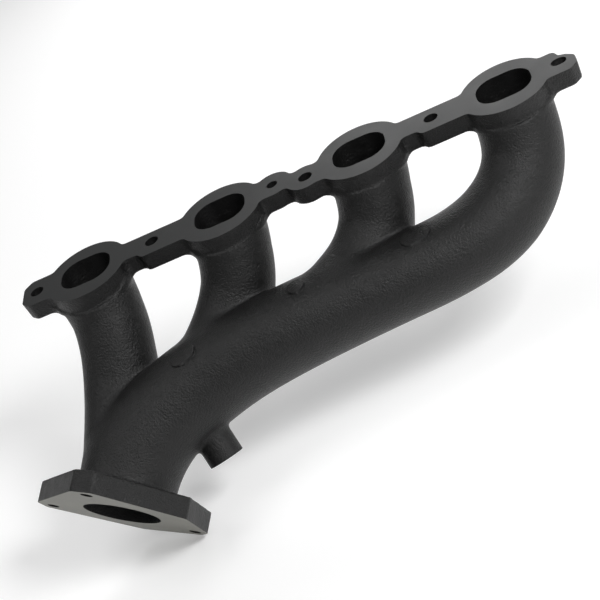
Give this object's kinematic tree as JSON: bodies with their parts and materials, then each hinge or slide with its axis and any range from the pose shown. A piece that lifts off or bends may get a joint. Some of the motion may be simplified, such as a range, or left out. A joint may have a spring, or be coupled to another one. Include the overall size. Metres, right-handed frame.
{
  "type": "exhaust manifold",
  "caption": "Log-type cast-iron exhaust manifold with separate port pads on one head flange, curved runners into a common trunk, and an angled bolted outlet flange.",
  "frame": {"origin": "centre of the gasket face, midway between ports 2 and 3", "axes": "+Z out of the gasket face towards the cylinder head, +X along the port line from port 1 to port 4, -Y the side that the trunk and outlet curl towards"},
  "size_m": [0.4799, 0.1975, 0.1791],
  "materials": {
    "black_casting": "as-cast sand texture under satin black high-temperature coating",
    "machined_flange": "machined flat, then coated black, as-cast edges",
    "machined_boss": "as-cast sides with a machined end, coated black"
  },
  "bodies": {
    "root": {"end_ear_1": "machined_flange", "port_pad_1": "machined_flange", "web_1_2": "machined_flange", "port_pad_2": "machined_flange", "centre_web": "machined_flange", "port_pad_3": "machined_flange", "web_3_4": "machined_flange", "port_pad_4": "machined_flange", "end_ear_4": "machined_flange", "port_collar_1": "black_casting", "port_collar_2": "black_casting", "port_collar_3": "black_casting", "port_collar_4": "black_casting", "runner_1": "black_casting", "runner_2": "black_casting", "runner_3": "black_casting", "runner_4": "black_casting", "trunk_front": "black_casting", "trunk_rear": "black_casting", "collector": "black_casting", "outlet_flange": "machined_flange", "sensor_boss": "machined_boss", "locating_pad_1": "black_casting", "locating_pad_2": "black_casting", "locating_pad_3": "black_casting"}
  },
  "joints": []
}
